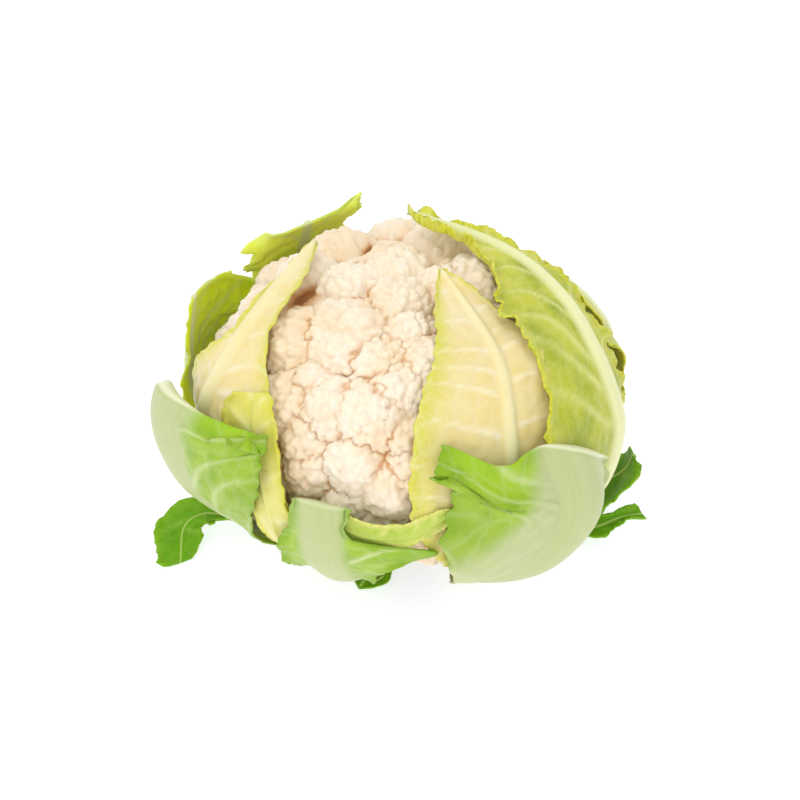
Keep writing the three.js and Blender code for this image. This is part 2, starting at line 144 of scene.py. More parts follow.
def blend(tree, share, first, second):
    """The colour between two, each an sRGB hex colour or an output."""
    ends = [linear(c) if isinstance(c, str) else c for c in (first, second)]
    return node(tree, "ShaderNodeMix", {0: share, 6: ends[0], 7: ends[1]}, data_type="RGBA").outputs[2]


def ranged(tree, value, start, end, low=0.0, high=1.0, **settings):
    """The value spread from start..end to low..high, and held there beyond."""
    inputs = {0: value, 1: start, 2: end, 3: low, 4: high}
    return node(tree, "ShaderNodeMapRange", inputs, **settings).outputs[0]


def noise_of(tree, place, scale, detail):
    """Soft noise from about 0.3 to 0.7 over the place."""
    inputs = {"Vector": place, "Scale": scale, "Detail": detail}
    return node(tree, "ShaderNodeTexNoise", inputs).outputs["Fac"]


def bumped(tree, height, strength, distance):
    """The normal of a surface raised by the height."""
    inputs = {"Height": height, "Strength": strength, "Distance": distance}
    return node(tree, "ShaderNodeBump", inputs).outputs["Normal"]


# Materials

SOFT = {"interpolation_type": "SMOOTHSTEP"}
CUT_END = "#E4E6BC"


def curd_flesh():
    """Cauliflower curd: matt, waxy, slightly see-through flesh, cream white, with painted shade in the gaps:
    warm tan in the lump creases, orange-brown in the crevices and dark brown in the deepest hollows.
    """
    material, tree = new_material("curd_flesh")
    deep = node(tree, "ShaderNodeAttribute", attribute_name="deep").outputs["Fac"]
    fold = node(tree, "ShaderNodeAttribute", attribute_name="fold").outputs["Fac"]
    place = node(tree, "ShaderNodeTexCoord").outputs["Object"]
    patches = noise_of(tree, place, 30.0, 3.0)
    flesh = blend(tree, ranged(tree, patches, 0.4, 0.62, **SOFT), "#F4E6CE", "#F0DBB8")
    # Painted shade: lump creases (fold) go warm tan, crevices between florets (deep) orange-brown and the
    # deepest hollows dark brown
    fold_shade = blend(tree, ranged(tree, fold, 0.0, 1.0, high=0.45, **SOFT), flesh, "#E2B27C")
    gap = blend(tree, ranged(tree, deep, 0.25, 0.8, high=0.7, **SOFT), fold_shade, "#CC8A36")
    hollow_shade = blend(tree, ranged(tree, deep, 0.75, 1.0, high=0.8, **SOFT), gap, "#8E4E14")
    bump = bumped(tree, noise_of(tree, place, 900.0, 2.0), 0.35, 0.0006)
    shader = node(tree, "ShaderNodeBsdfPrincipled", {"Base Color": hollow_shade, "Normal": bump})
    shader.inputs["Roughness"].default_value = 0.62
    shader.inputs["IOR"].default_value = 1.4
    shader.inputs["Subsurface Weight"].default_value = 0.35
    shader.inputs["Subsurface Radius"].default_value = (1.0, 0.7, 0.45)
    shader.inputs["Subsurface Scale"].default_value = 0.002
    node(tree, "ShaderNodeOutputMaterial", {"Surface": shader.outputs[0]})
    return material


def leaf_flesh(name, low, high, margin, rib, vein, mottle, net=0.15, gloss=0.42, inner_face_light=None):
    """Living leaf: soft waxy sheen, a little light through it, paler ribs and a fine net of veins.

    The body goes from low to high along the leaf with patches of mottle. The last argument is painted light:
    a brighter colour on the inner face in place of light through the leaf. net is how much the finest veins
    show.
    """
    material, tree = new_material(name)
    marks = {
        key: node(tree, "ShaderNodeAttribute", attribute_name=key).outputs["Fac"]
        for key in ("rib", "vein", "edge", "along", "across", "tip", "rise", "inside")
    }
    flat = node(tree, "ShaderNodeCombineXYZ", {0: marks["across"], 1: marks["along"]}).outputs[0]
    body = blend(tree, marks["rise"], low, high)
    patches = ranged(tree, noise_of(tree, flat, 0.06, 4.0), 0.45, 0.68, 0.0, 0.85)
    body = blend(tree, patches, body, mottle)
    specks = ranged(tree, noise_of(tree, flat, 0.75, 1.0), 0.5, 0.62, 0.0, 0.6)
    body = blend(tree, marks["edge"], body, blend(tree, specks, margin, mottle))
    # Painted light: the inner face takes a brighter colour in place of the light that shines through the leaf
    if inner_face_light:
        body = blend(tree, ranged(tree, marks["inside"], 0.0, 1.0, 0.0, 0.85), body, inner_face_light)
    cell_inputs = {"Vector": flat, "Scale": 0.3, "Randomness": 0.9}
    cells = node(tree, "ShaderNodeTexVoronoi", cell_inputs, feature="DISTANCE_TO_EDGE").outputs["Distance"]
    lines = ranged(tree, cells, 0.0, 0.13, 1.0, 0.0)
    faint = node(tree, "ShaderNodeMath", {0: lines, 1: net}, operation="MULTIPLY").outputs[0]
    body = blend(tree, faint, body, vein)
    body = blend(tree, marks["vein"], body, vein)
    stretched = node(tree, "ShaderNodeMapping", {"Vector": flat, "Scale": (1.0, 0.05, 1.0)}).outputs[0]
    streaks = ranged(tree, noise_of(tree, stretched, 0.4, 3.0), 0.4, 0.7, 0.0, 0.1)
    body = blend(tree, marks["rib"], body, blend(tree, streaks, rib, mottle))
    body = blend(tree, marks["tip"], body, CUT_END)
    relief = node(tree, "ShaderNodeMath", {0: faint, 1: streaks}, operation="ADD").outputs[0]
    bump = bumped(tree, relief, 0.4, 0.0008)
    shader = node(tree, "ShaderNodeBsdfPrincipled", {"Base Color": body, "Normal": bump})
    shader.inputs["Roughness"].default_value = gloss
    shader.inputs["IOR"].default_value = 1.42
    shader.inputs["Specular IOR Level"].default_value = 0.25
    shader.inputs["Subsurface Weight"].default_value = 0.25
    shader.inputs["Subsurface Radius"].default_value = (0.8, 1.0, 0.3)
    shader.inputs["Subsurface Scale"].default_value = 0.003
    node(tree, "ShaderNodeOutputMaterial", {"Surface": shader.outputs[0]})
    return material


def stalk_flesh():
    """Cut stalk: pale, slightly violet flesh, matt on the cut face."""
    material, tree = new_material("stalk_flesh")
    place = node(tree, "ShaderNodeTexCoord").outputs["Object"]
    colour = blend(tree, noise_of(tree, place, 120.0, 3.0), "#E6DDE0", "#D2CDB4")
    shader = node(tree, "ShaderNodeBsdfPrincipled", {"Base Color": colour})
    shader.inputs["Roughness"].default_value = 0.55
    shader.inputs["IOR"].default_value = 1.4
    node(tree, "ShaderNodeOutputMaterial", {"Surface": shader.outputs[0]})
    return material


def white_surface():
    """White studio table: matt paper, lit from within a little so that it stays as white as the photo's."""
    material, tree = new_material("white_table")
    shader = node(tree, "ShaderNodeBsdfPrincipled")
    shader.inputs["Base Color"].default_value = linear("#DCD6E4")
    shader.inputs["Emission Color"].default_value = linear("#F8FAFF")
    shader.inputs["Emission Strength"].default_value = 0.62
    shader.inputs["Roughness"].default_value = 0.9
    shader.inputs["Specular IOR Level"].default_value = 0.1
    node(tree, "ShaderNodeOutputMaterial", {"Surface": shader.outputs[0]})
    return material


# The curd: large florets, the buds on them, and the small grains on those

# Azimuth and elevation in degrees and radius in mm. The last two aren't in the solids
FRONT_FLORETS = [
    (-47, 54, 19), (-110, 66, 13), (-168, 70, 15), (-13, 84, 14), (9, 64, 11), (-14, 51, 12), (-2, 42, 13),
    (-42, 38, 8), (104, 69, 13), (72, 60, 8), (-120, 43, 12), (-13, 33, 15), (-31, 32, 13), (-35, 22, 11),
    (-31, 13, 11), (-16, 19, 12), (-3, 12, 13), (-18, 6, 9), (2, 28, 8), (4, -3, 9),
    (-42, 7, 11), (-31, 1, 9),
]
# The other florets stand on a spiral from the top down to LOWEST_DEG
SPIRAL_COUNT = 46
LOWEST_DEG = -26
FLORET_RADIUS = 17
# A floret's ball is this many times its radius, so it is flatter than in the solids
FLATTEN = 1.28
# How far in mm the buds stand off their floret, how large they are for its size, and how deep the gaps go
BUD_PROUD = 1.8
BUD_SIZE = 0.27
DEEPEST_GAP = 7.5
# Rounding in mm that a floret's ball is let out by
BALL_EASE = 0.6
# Florets under this radius in mm sit lower, by this share of what they lack
FULL_FLORET = 18
SMALL_SINKS = 0.28
# Heights of a direction between which the florets come out from under the leaves, and how many mm they rise
OPEN_BAND = (-0.09, 0.31)
OPEN_RISE = 2.4
# Depth and width in mm of the crease between two florets
FLORET_CREASE = (1.8, 1.1)
CURD_CUTS = 119
# The curd's rows are closest towards this lean off the top, which faces the camera
CLOSE_ROWS_DEG = 34
# Lumps that go over all florets: how many, how high, how uneven, and how strongly painted shade darkens their
# creases
LUMPS = [(560, 1.8, 0.06, 0.4), (12500, 0.7, 0.01, 0.3)]


def floret_domes():
    """Direction and radius of each floret: the front ones, then those of the spiral that find room."""
    domes = [(polar(az, el), float(r)) for az, el, r in FRONT_FLORETS]
    lowest = math.sin(math.radians(LOWEST_DEG))
    for k in range(SPIRAL_COUNT):
        up = 1 - (1 - lowest) * (k + 0.5) / SPIRAL_COUNT
        el = math.degrees(math.asin(up)) + 4 * (chance(k) - 0.5)
        d = polar(math.degrees(k * GOLDEN_ANGLE) + 6 * (chance(k + 70) - 0.5), el)
        r = FLORET_RADIUS * (0.78 + 0.3 * chance(k + 140))
        far = float(reach(HEAD, d))
        if all(math.acos(min(1, float(d @ o))) * far > 0.92 * max(s, 8) + 0.35 * r for o, s in domes):
            domes.append((d, r))
    return domes


def floret_buds(number, d, r, centre):
    """Centres and radii of the buds on a floret, with the floret's own ball first."""
    size = BUD_SIZE * (8 + 0.5 * r / FLATTEN)
    count = round(2 * math.pi * r * r * 0.75 / (0.85 * size ** 2))
    turn = Vector((0, 0, 1)).rotation_difference(Vector(d))
    balls = [(*centre, r)]
    for k in range(count):
        key = 1000 + number * 97 + k
        z = 1 - 0.75 * (k + 0.15 + 0.7 * chance(key + 7)) / count
        a = k * GOLDEN_ANGLE + number + 0.8 * chance(key + 3)
        s = math.sqrt(max(0, 1 - z * z))
        outward = np.array(turn @ Vector((s * math.cos(a), s * math.sin(a), z)))
        radius = size * (0.5 + 0.5 * chance(key) ** 1.3)
        lift = BUD_PROUD * (0.75 + 0.5 * chance(key + 5))
        balls.append((*(centre + outward * (r + lift - radius)), radius))
    return np.array(balls)


def curd_reach(domes, d):
    """The curd's surface without its lumps, and how near each place is to a crease between florets."""
    head = reach(HEAD, d)
    open_up = smoothstep(d[:, 2], *OPEN_BAND)
    floor = reach(CORE, d)
    floor = floor + (head - DEEPEST_GAP - floor) * smoothstep(d[:, 2], -0.42, -0.1)
    heights = np.zeros((len(d), len(domes)))
    for n, (o, size) in enumerate(domes):
        r = FLATTEN * size
        top = float(reach(HEAD, o)) - SMALL_SINKS * max(0, FULL_FLORET - size) - 0.7
        top += OPEN_RISE * float(smoothstep(o[2], *OPEN_BAND))
        centre = o * (top - BUD_PROUD + BALL_EASE - r)
        near = d @ centre > math.sqrt(max(0.0, centre @ centre - (r + BUD_PROUD + BALL_EASE) ** 2))
        balls = floret_buds(n, o, r, centre)
        along = d[near] @ balls[:, :3].T
        inside = balls[:, 3] ** 2 - (balls[:, :3] ** 2).sum(1) + along ** 2
        crossing = np.where(inside > 0, along + np.sqrt(np.maximum(inside, 0)), 0)
        heights[near, n] = crossing.max(1)
    two = np.sort(heights, axis=1)[:, -2:]
    full = np.maximum(two[:, 1], floor)
    second = np.maximum(two[:, 0], floor)
    under = np.maximum(0, -np.degrees(np.arcsin(np.clip(d[:, 2], -1, 1))))
    limit = head + 1.6 + 3.2 * open_up - 0.004 * under ** 2
    depth, width = FLORET_CREASE
    patchy = 0.6 + 0.4 * ripple(14 * d[:, 0] + 9 * d[:, 1], 14 * d[:, 2] - 9 * d[:, 1], 3)
    crease = patchy * np.exp(-(((full - second) / width) ** 2))
    return np.minimum(full, limit) - depth * crease, crease


def lump_gaps(domes, places, count, uneven, level):
    """For each place, 0 at the middle of its lump and 1 where two lumps meet."""
    k = np.arange(count)
    z = 1 - 2 * (k + 0.5) / count
    a = k * GOLDEN_ANGLE + level
    random = np.random.default_rng(7 + level)
    seeds = np.stack([np.sqrt(1 - z * z) * np.cos(a), np.sqrt(1 - z * z) * np.sin(a), z], axis=1)
    seeds = unit(seeds + random.normal(0, uneven, seeds.shape))
    seeds = seeds * curd_reach(domes, seeds)[0][:, None]
    tree = kdtree.KDTree(count)
    for index, seed in enumerate(seeds):
        tree.insert(seed, index)
    tree.balance()
    near = np.array([[hit[2] for hit in tree.find_n(p, 2)] for p in places])
    return 2 * near[:, 0] / (near[:, 0] + near[:, 1])


def curd_directions(bm):
    """A direction for each vertex of a cube cut into rows, close together where the curd shows."""
    bmesh.ops.create_cube(bm, size=2)
    bmesh.ops.subdivide_edges(bm, edges=bm.edges[:], cuts=CURD_CUTS, use_grid_fill=True)
    bm.verts.index_update()
    cube = np.array([v.co[:] for v in bm.verts])
    # The tangent spreads a cube's rows evenly over a ball
    d = unit(np.tan(cube * math.pi / 4))
    from_top = math.pi * (np.arccos(np.clip(d[:, 2], -1, 1)) / math.pi) ** 1.4
    turn = np.arctan2(d[:, 1], d[:, 0])
    d = np.stack([np.sin(from_top) * np.cos(turn), np.sin(from_top) * np.sin(turn), np.cos(from_top)], axis=1)
    lean = math.radians(CLOSE_ROWS_DEG)
    return np.stack([
        d[:, 0],
        d[:, 1] * math.cos(lean) - d[:, 2] * math.sin(lean),
        d[:, 1] * math.sin(lean) + d[:, 2] * math.cos(lean),
    ], axis=1)


def make_curd(material):
    """The curd: florets with their buds, two sizes of lumps over them, and masks for the gaps and folds that
    its material fills with painted shade.
    """
    domes = floret_domes()
    bm = bmesh.new()
    d = curd_directions(bm)
    far, crease = curd_reach(domes, d)
    places = d * far[:, None]
    relief = np.zeros(len(d))
    fold = np.zeros(len(d))
    for level, (count, height, uneven, shown) in enumerate(LUMPS):
        gap = lump_gaps(domes, places, count, uneven, level)
        relief += height * (0.4 - 0.7 * gap ** 2)
        fold = np.maximum(fold, shown * smoothstep(gap, 0.84, 1.0))
    places = d * (far + relief)[:, None] + CENTRE
    places[:, 2] = np.maximum(places[:, 2], CURD_BOTTOM)
    fall = reach(HEAD, d) - far
    # Masks for painted shade: deep where the surface falls below the head's dome and at creases between
    # florets, fold at creases between lumps
    marks = {"deep": np.maximum(smoothstep(fall, 6.0, 12.0), crease), "fold": fold}
    return keep(bm, "curd_florets", material, places, marks, "curd")


# Leaves. The rows are those of the solids, with some margins and feet fitted closer to the photo
# knots: the midrib's azimuth and elevation in degrees and its mm off the head
# left, right: half-widths in mm at the knots
# rib, rib_height: half-width and height in mm of the midrib, at its foot and at its tip
# skin: the flesh out of SKINS
# veins: spacing, lean, wander and net cell in mm, and a vein's width as a share of the spacing
# frill, teeth: mm that the margin waves and is notched, past the share frill_from of the length
# wave: how many slow waves and how high
# curl, lift: mm that the left and the right margin turn up, sharply or from the rib on
# sweep: degrees that the rows lean to the tip, at the rib and at the margin, for the left and for the right
# sweep_from: the share of the length where the sweep starts
# dip: a fold of the left side, its place and width as shares of the half-width, its depth and rise in mm
# cut: the leaf is cut across, and how pale the cut is. blunt: the tip is square instead of pointed
# lies: the leaf spreads flat near the table, and how many mm its margins hang
# fade, far_fade: mm that the margin's colour reaches in, on both sides or on the right one
# band: how wide the rib's colour is, of its own width. base_band: mm more of it at the foot. bare: hardly any
LEAVES = [
    {
        "name": "leaf_inner_left",
        "skin": "inner", "frill": 0.8, "teeth": 0.8, "veins": (14, 0.6, 2.5, 9, 0.1), "fade": 12,
        "knots": [
            (-52, -60.5, -16.6), (-56, -38.5, 0.6), (-64, -12, 2.6), (-70, 10, 4.4), (-71, 24, 4.5),
            (-76, 36.5, 4.5), (-90, 48.5, 4.5), (-128, 53.5, 5),
        ],
        "left": [9, 12, 20, 27, 21, 9, 5, 3.5],
        "right": [9, 14, 52, 52, 40, 19, 11, 5],
        "rib": [8, 3], "rib_height": [4.5, 1.6],
        "wave": (5, 0.7),
    },
    {
        "name": "leaf_inner_right",
        "skin": "inner", "frill": 0.8, "teeth": 0.8, "veins": (14, 0.4, 2, 9, 0.1),
        "fade": 24, "far_fade": 2, "band": 0.8,
        "knots": [
            (28, -60.5, -16.6), (28, -38.5, 0.6), (29, -12, 2.6), (30, 8.5, 4.4), (34, 28, 4.5),
            (44, 47.5, 4.5), (96, 77, 4.8),
        ],
        "left": [4, 6, 27, 43.5, 41, 28, 4],
        "right": [4, 8, 17, 22, 22, 19, 3],
        "rib": [7, 1.5], "rib_height": [4, 0.8],
        "wave": (5, 0.6),
    },
    {
        "name": "leaf_inner_front",
        "skin": "lime", "frill": 0.6, "teeth": 0.5, "veins": (14, 1.0, 2, 8, 0.1), "bare": 1,
        "knots": [
            (-24, -60.5, -16.6), (-24, -38.5, 0.6), (-23, -14, 2.4), (-20, 3, 3.2), (-9, 2.2, 4.4),
            (2, 4, 5.8), (14, 11, 7.4),
        ],
        "left": [5, 8, 9, 9, 8, 7, 5],
        "right": [5, 7, 8, 8, 7, 5, 4],
        "rib": [2, 1], "rib_height": [0.8, 0.3],
        "wave": (3, 0.4),
    },
    {
        "name": "leaf_inner_back",
        "skin": "inner", "frill": 0.8, "teeth": 0.8, "veins": (14, 0.8, 2.5, 9, 0.08), "fade": 14,
        "knots": [
            (168, -60.5, -16.6), (168, -38.5, 0.6), (168, -13, 3), (168, 5, 4.3), (170, 17, 4),
        ],
        "left": [9, 14, 36, 46, 30],
        "right": [9, 14, 36, 46, 30],
        "rib": [8, 2.5], "rib_height": [4, 1.5],
        "wave": (4, 0.8),
    },
    {
        "name": "leaf_small_left",
        "skin": "pale", "frill": 0.9, "teeth": 1.0, "veins": (16, 1.0, 3, 9, 0.1), "blunt": 1, "bare": 1,
        "knots": [
            (-34, -63.5, -10.5), (-35, -40, 1.5), (-35, -14, 4.4), (-38, 6, 6), (-45, 21, 6.4),
            (-51, 31, 6.4),
        ],
        "left": [4, 5, 8, 14, 18, 18],
        "right": [4, 5, 8, 12, 12, 9],
        "rib": [3, 1], "rib_height": [1.2, 0.5],
        "wave": (4, 0.6),
    },
    {
        "name": "leaf_outer_right",
        "skin": "outer", "frill": 1.8, "teeth": 2.4, "veins": (19, 1.3, 4.5, 9, 0.1),
        "curl": (4, 1.5), "frill_from": 0.28,
        "knots": [
            (66, -65, -6.5), (68, -41.5, 8), (71, -17.5, 9), (74, 2.5, 9), (76, 16, 7.6), (81, 27, 6.6),
            (92, 36.5, 5.8), (108, 46, 5.4), (130, 55.5, 6), (176, 60, 9.5),
        ],
        "left": [9, 14, 28, 52, 54, 41, 44, 32, 16, 6],
        "right": [9, 14, 18, 21, 21, 20, 18, 13, 8, 5],
        "rib": [10, 2], "rib_height": [6.5, 1.2],
        "wave": (8, 1.1),
    },
    {
        "name": "leaf_back_right",
        "skin": "outer", "frill_from": 0.4, "frill": 1.6, "teeth": 1.4, "veins": (17, 1.1, 3, 8, 0.1),
        "knots": [
            (112, -65, -6.5), (112, -41.5, 8), (111, -17, 10.5), (110, 2.5, 12), (111, 16, 7.5),
            (115, 26, 4.2), (121, 33, 3.4),
        ],
        "left": [9, 13, 22, 26, 24, 18, 8],
        "right": [9, 13, 30, 40, 38, 28, 8],
        "rib": [9, 2], "rib_height": [5.5, 1],
        "wave": (7, 1.2),
    },
    {
        "name": "leaf_outer_left",
        "skin": "olive", "frill_from": 0.4, "frill": 1.2, "teeth": 1.2, "veins": (19, 1.2, 4, 9, 0.09),
        "blunt": 1,
        "knots": [
            (-102, -65, -6.5), (-102, -42, 8), (-102, -21.5, 11), (-102, -7, 11.5), (-103, 7, 11),
            (-107, 20, 16),
        ],
        "left": [9, 14, 28, 46, 56, 60],
        "right": [9, 12, 12, 10, 6, 4],
        "rib": [8, 2], "rib_height": [5.5, 1],
        "wave": (3, 1.2),
        "sweep": ([0, -3], [0, 0]),
        "lift": [-2, 0],
    },
    {
        "name": "leaf_back_left",
        "skin": "curly", "frill_from": 0.5, "frill": 3.8, "teeth": 3.2, "veins": (16, 1.0, 3, 8, 0.1),
        "blunt": 1, "curl": (3, 2),
        "knots": [
            (-152, -65, -6.5), (-152, -42, 8), (-152, -17, 9), (-151, 3.5, 9), (-150, 17, 8),
            (-149, 27, 8.5),
        ],
        "left": [9, 13, 22, 28, 30, 30],
        "right": [9, 13, 22, 26, 28, 28],
        "rib": [9, 2], "rib_height": [5.5, 1],
        "wave": (5, 2.4),
        "sweep": ([0, 35], [0, -5]),
        "lift": [2, -1],
    },
    {
        "name": "leaf_trimmed_front",
        "skin": "trimmed", "frill": 0.8, "teeth": 1.0, "veins": (16, 0.9, 3, 10, 0.11), "cut": 0.4,
        "knots": [
            (-20, -65, -6.5), (-20, -44.5, 3.4), (-21, -27, 4.7), (-21, -12, 5.6), (-21, -1.5, 6.3),
            (-21, 2.5, 6.6), (-21, 12, 7.5),
        ],
        "left": [9, 15, 19, 20, 17, 13, 12],
        "right": [9, 13, 16, 25, 49, 13, 13],
        "rib": [8.5, 11], "rib_height": [5, 2.5],
        "wave": (2, 0.6),
        "lift": [3, 0],
    },
    {
        "name": "leaf_trimmed_left",
        "skin": "trimmed", "frill": 1.2, "teeth": 1.4, "veins": (27, 0.5, 9, 14, 0.13),
        "cut": 1, "band": 1.35, "base_band": 8,
        "knots": [
            (-60, -68.5, 2.5), (-70, -42, 9), (-75, -18, 13), (-78, -5.5, 16), (-80, 4, 17.5),
            (-80, 13, 16.5),
        ],
        "left": [8, 13, 14, 14, 14, 13],
        "right": [8, 32, 76, 86, 82, 69],
        "rib": [10, 25], "rib_height": [6.5, 6.5],
        "wave": (3, 1),
        "sweep": ([-20, -35], [19, 23]),
        "lift": [1, -4],
    },
    {
        "name": "leaf_trimmed_right",
        "skin": "trimmed", "frill": 1.4, "teeth": 1.4, "veins": (23, 0.9, 8, 12, 0.1),
        "cut": 1, "band": 1.3, "base_band": 62,
        "knots": [
            (32, -61, -2), (34, -48, 5), (37, -35.5, 9), (44, -21, 12.8), (49.5, -3, 13.8),
            (49, 17, 13.5),
        ],
        "left": [5, 8, 30, 68, 80, 66],
        "right": [5, 10, 19, 24, 24, 24],
        "rib": [17, 19], "rib_height": [6.5, 7],
        "wave": (3, 1.2),
        "sweep": ([38, 30], [-40, -46]),
        "sweep_from": 0.25,
        "lift": [-2.5, 0],
        "dip": (0.66, 0.24, 11, 2),
    },
    {
        "name": "leaf_low_left",
        "skin": "deep", "frill": 0.8, "teeth": 1.4, "veins": (14, 1.0, 2.5, 8, 0.07), "blunt": 1, "band": 0.3,
        "knots": [
            (-88, -69.1, 4.5), (-81, -52.7, 14), (-79, -43, 20.8), (-80.5, -36.6, 27),
            (-81, -32.6, 33.5), (-78, -31.2, 41.5), (-70.5, -33, 50.5),
        ],
        "left": [3, 3, 3, 6, 11, 13, 10],
        "right": [3, 3, 3, 5, 9, 11, 10],
        "rib": [2.6, 1], "rib_height": [1.8, 0.6],
        "wave": (3, 1),
        "sweep": ([0, 9], [0, -3]),
        "lies": 1,
    },
    {
        "name": "leaf_low_right",
        "skin": "deep", "frill": 1.6, "teeth": 1.4, "veins": (14, 1.0, 2.5, 8, 0.07), "blunt": 1, "band": 0.3,
        "knots": [
            (93, -68.5, 2.5), (91, -47, 14.3), (88, -32, 22.3), (87, -25, 26), (87, -20.5, 27),
            (88, -17, 26),
        ],
        "left": [6, 9, 13, 18, 16, 10],
        "right": [6, 8, 10, 13, 13, 10],
        "rib": [5.5, 2], "rib_height": [4.5, 1],
        "wave": (3, 2),
    },
    {
        "name": "leaf_low_right_tip",
        "skin": "deep", "frill": 0.8, "teeth": 1.0, "veins": (12, 1.0, 2, 7, 0.07), "blunt": 1, "band": 0.4,
        "knots": [
            (68, -69.1, 4.5), (72, -48.7, 17.9), (76, -38.9, 28.8), (78, -34.7, 34.8),
            (81.5, -31.1, 40.5), (82.5, -28, 46.7),
        ],
        "left": [4, 4.5, 5, 7, 3, 5],
        "right": [4, 4.5, 5, 7, 3, 5],
        "rib": [3.5, 1.2], "rib_height": [2, 0.6],
        "wave": (2, 1),
        "lies": 1,
    },
    {
        "name": "leaf_low_front",
        "skin": "deep", "frill": 0.3, "teeth": 0.5, "veins": (12, 1.0, 2, 7, 0.07), "band": 0.4,
        "knots": [
            (-18, -69.2, 5), (-18, -58.9, 10.8), (-19, -53.3, 15.5), (-20, -50.4, 18.6),
        ],
        "left": [5, 8, 8, 2],
        "right": [5, 9, 9, 2],
        "rib": [3, 1.2], "rib_height": [1.2, 0.3],
        "wave": (2, 0.4),
        "lies": 0.6,
    },
    {
        "name": "leaf_trimmed_back",
        "skin": "trimmed", "frill": 1.0, "teeth": 1.0, "veins": (22, 0.8, 7, 12, 0.1), "cut": 1,
        "knots": [
            (-170, -68.5, 2.5), (-172, -48, 10), (-174, -28.5, 12), (-175, -12.5, 12.6),
            (-175, -1, 12.6), (-175, 7, 12.6),
        ],
        "left": [8, 14, 20, 30, 34, 26],
        "right": [8, 14, 20, 30, 34, 26],
        "rib": [8, 12], "rib_height": [6.5, 6],
        "wave": (3, 1),
    },
    {
        "name": "leaf_trimmed_back_left",
        "skin": "trimmed", "frill": 0.8, "teeth": 1.0, "veins": (20, 0.8, 6, 12, 0.1), "cut": 1,
        "knots": [
            (-126, -68.5, 2.5), (-127, -48, 12), (-128, -28.5, 14), (-129, -13.5, 14.5), (-129, -4, 15),
        ],
        "left": [8, 13, 16, 20, 17],
        "right": [8, 13, 16, 20, 17],
        "rib": [8, 12], "rib_height": [6.5, 6],
        "wave": (2, 0.8),
    },
    {
        "name": "leaf_trimmed_back_right",
        "skin": "trimmed", "frill": 1.0, "teeth": 1.0, "veins": (22, 0.8, 7, 12, 0.1), "cut": 1,
        "knots": [
            (140, -68.5, 2.5), (140, -48, 10), (140, -28.5, 13), (139, -13.5, 13.5), (138, -1, 13),
            (138, 4.5, 13),
        ],
        "left": [8, 14, 20, 32, 36, 28],
        "right": [8, 13, 17, 22, 20, 18],
        "rib": [8, 12], "rib_height": [6.5, 6],
        "wave": (3, 1),
    },
]


def smooth(rows, t):
    """Catmull-Rom through the rows at each t from 0 to the last row's number."""
    ends = np.vstack([2 * rows[0] - rows[1], rows, 2 * rows[-1] - rows[-2]])
    i = np.minimum(np.floor(t).astype(int), len(rows) - 2)
    f = (t - i)[..., None]
    a, b, c, d = ends[i], ends[i + 1], ends[i + 2], ends[i + 3]
    return b + 0.5 * f * (c - a + f * (2 * a - 5 * b + 4 * c - d + f * (3 * (b - c) + d - a)))


def midrib(leaf):
    """The midrib's rows x, y, z, left, right, its length, and the knot number at shares of that length."""
    knots = np.array(leaf["knots"])
    d = polar(knots[:, 0], knots[:, 1])
    places = d * (reach(HEAD, d) + knots[:, 2])[:, None] + CENTRE
    rows = np.column_stack([places, leaf["left"], leaf["right"]])
    steps = np.linspace(0, len(rows) - 1, 241)
    line = smooth(rows, steps)[:, :3]
    lengths = np.concatenate([[0], np.cumsum(np.linalg.norm(np.diff(line, axis=0), axis=1))])
    return rows, lengths[-1], lambda q: np.interp(q * lengths[-1], lengths, steps)


def flat_points(leaf, here, along, out, side, share, wide, wave, q):
    """Points of a leaf that turns from standing off the head to lying near the table."""
    f = smoothstep(q, 0.1, 0.5)[..., None]
    away = unit(out * (1 - f) + np.array([0, 0, -1]) * f)
    aside = unit(np.cross(along, away)) * side[..., None]
    hang = leaf["lies"] * share ** 2 + wave * share
    return here + aside * wide[..., None] - away * hang[..., None]


def blade_points(leaf, q, side, across, wave_extra, stretch):
    """Points of the leaf's middle surface at shares q of its length and distances across to one side."""
    rows, _, knot_at = midrib(leaf)
    t = knot_at(q)
    here = smooth(rows, t)
    ahead = smooth(rows, np.minimum(t + 0.02, len(rows) - 1))[..., :3]
    behind = smooth(rows, np.maximum(t - 0.02, 0))[..., :3]
    out = here[..., :3] - CENTRE
    far = np.linalg.norm(out, axis=-1, keepdims=True)
    out = out / far
    along = ahead - behind
    along = unit(along - (along * out).sum(-1, keepdims=True) * out)
    aside = np.cross(along, out) * side[..., None]
    half = np.maximum(np.where(side < 0, here[..., 3], here[..., 4]), 1)
    share = across / half
    count, height = leaf["wave"]
    slow = np.sin(2 * math.pi * count * q + np.where(side < 0, 0.6, 2.4))
    wave = height * smoothstep(q, 0.25, 0.5) * share ** 2 * slow + wave_extra
    wide = across + stretch
    if "lies" in leaf:
        return flat_points(leaf, here[..., :3], along, out, side, share, wide, wave, q)
    sweep = leaf.get("sweep", ([0, 0], [0, 0]))
    left_sweep, right_sweep = (s[0] + (s[1] - s[0]) * share for s in sweep)
    turned = smoothstep(q, leaf["sweep_from"], 0.8) if "sweep_from" in leaf else 1
    turn = (turned * np.radians(np.where(side < 0, left_sweep, right_sweep)))[..., None]
    angle = wide[..., None] / far
    d = out * np.cos(angle) + aside * np.sin(angle) * np.cos(turn) + along * np.sin(angle) * np.sin(turn)
    d = unit(d)
    fold = np.zeros_like(q)
    rise = 0
    if "dip" in leaf:
        at, width, depth, rise = leaf["dip"]
        fold = np.where(side < 0, np.exp(-(((share - at) / width) ** 2)) * smoothstep(q, 0.15, 1), 0)
        d = unit(d - along * (depth * fold)[..., None] / far)
    lift = np.where(side < 0, *leaf.get("lift", (0, 0)))
    edge = lift * smoothstep(q, 0.15, 0.5) * share ** 2
    raised = reach(HEAD, d) + far[..., 0] - reach(HEAD, out) + edge + wave + fold * rise
    return d * raised[..., None] + CENTRE


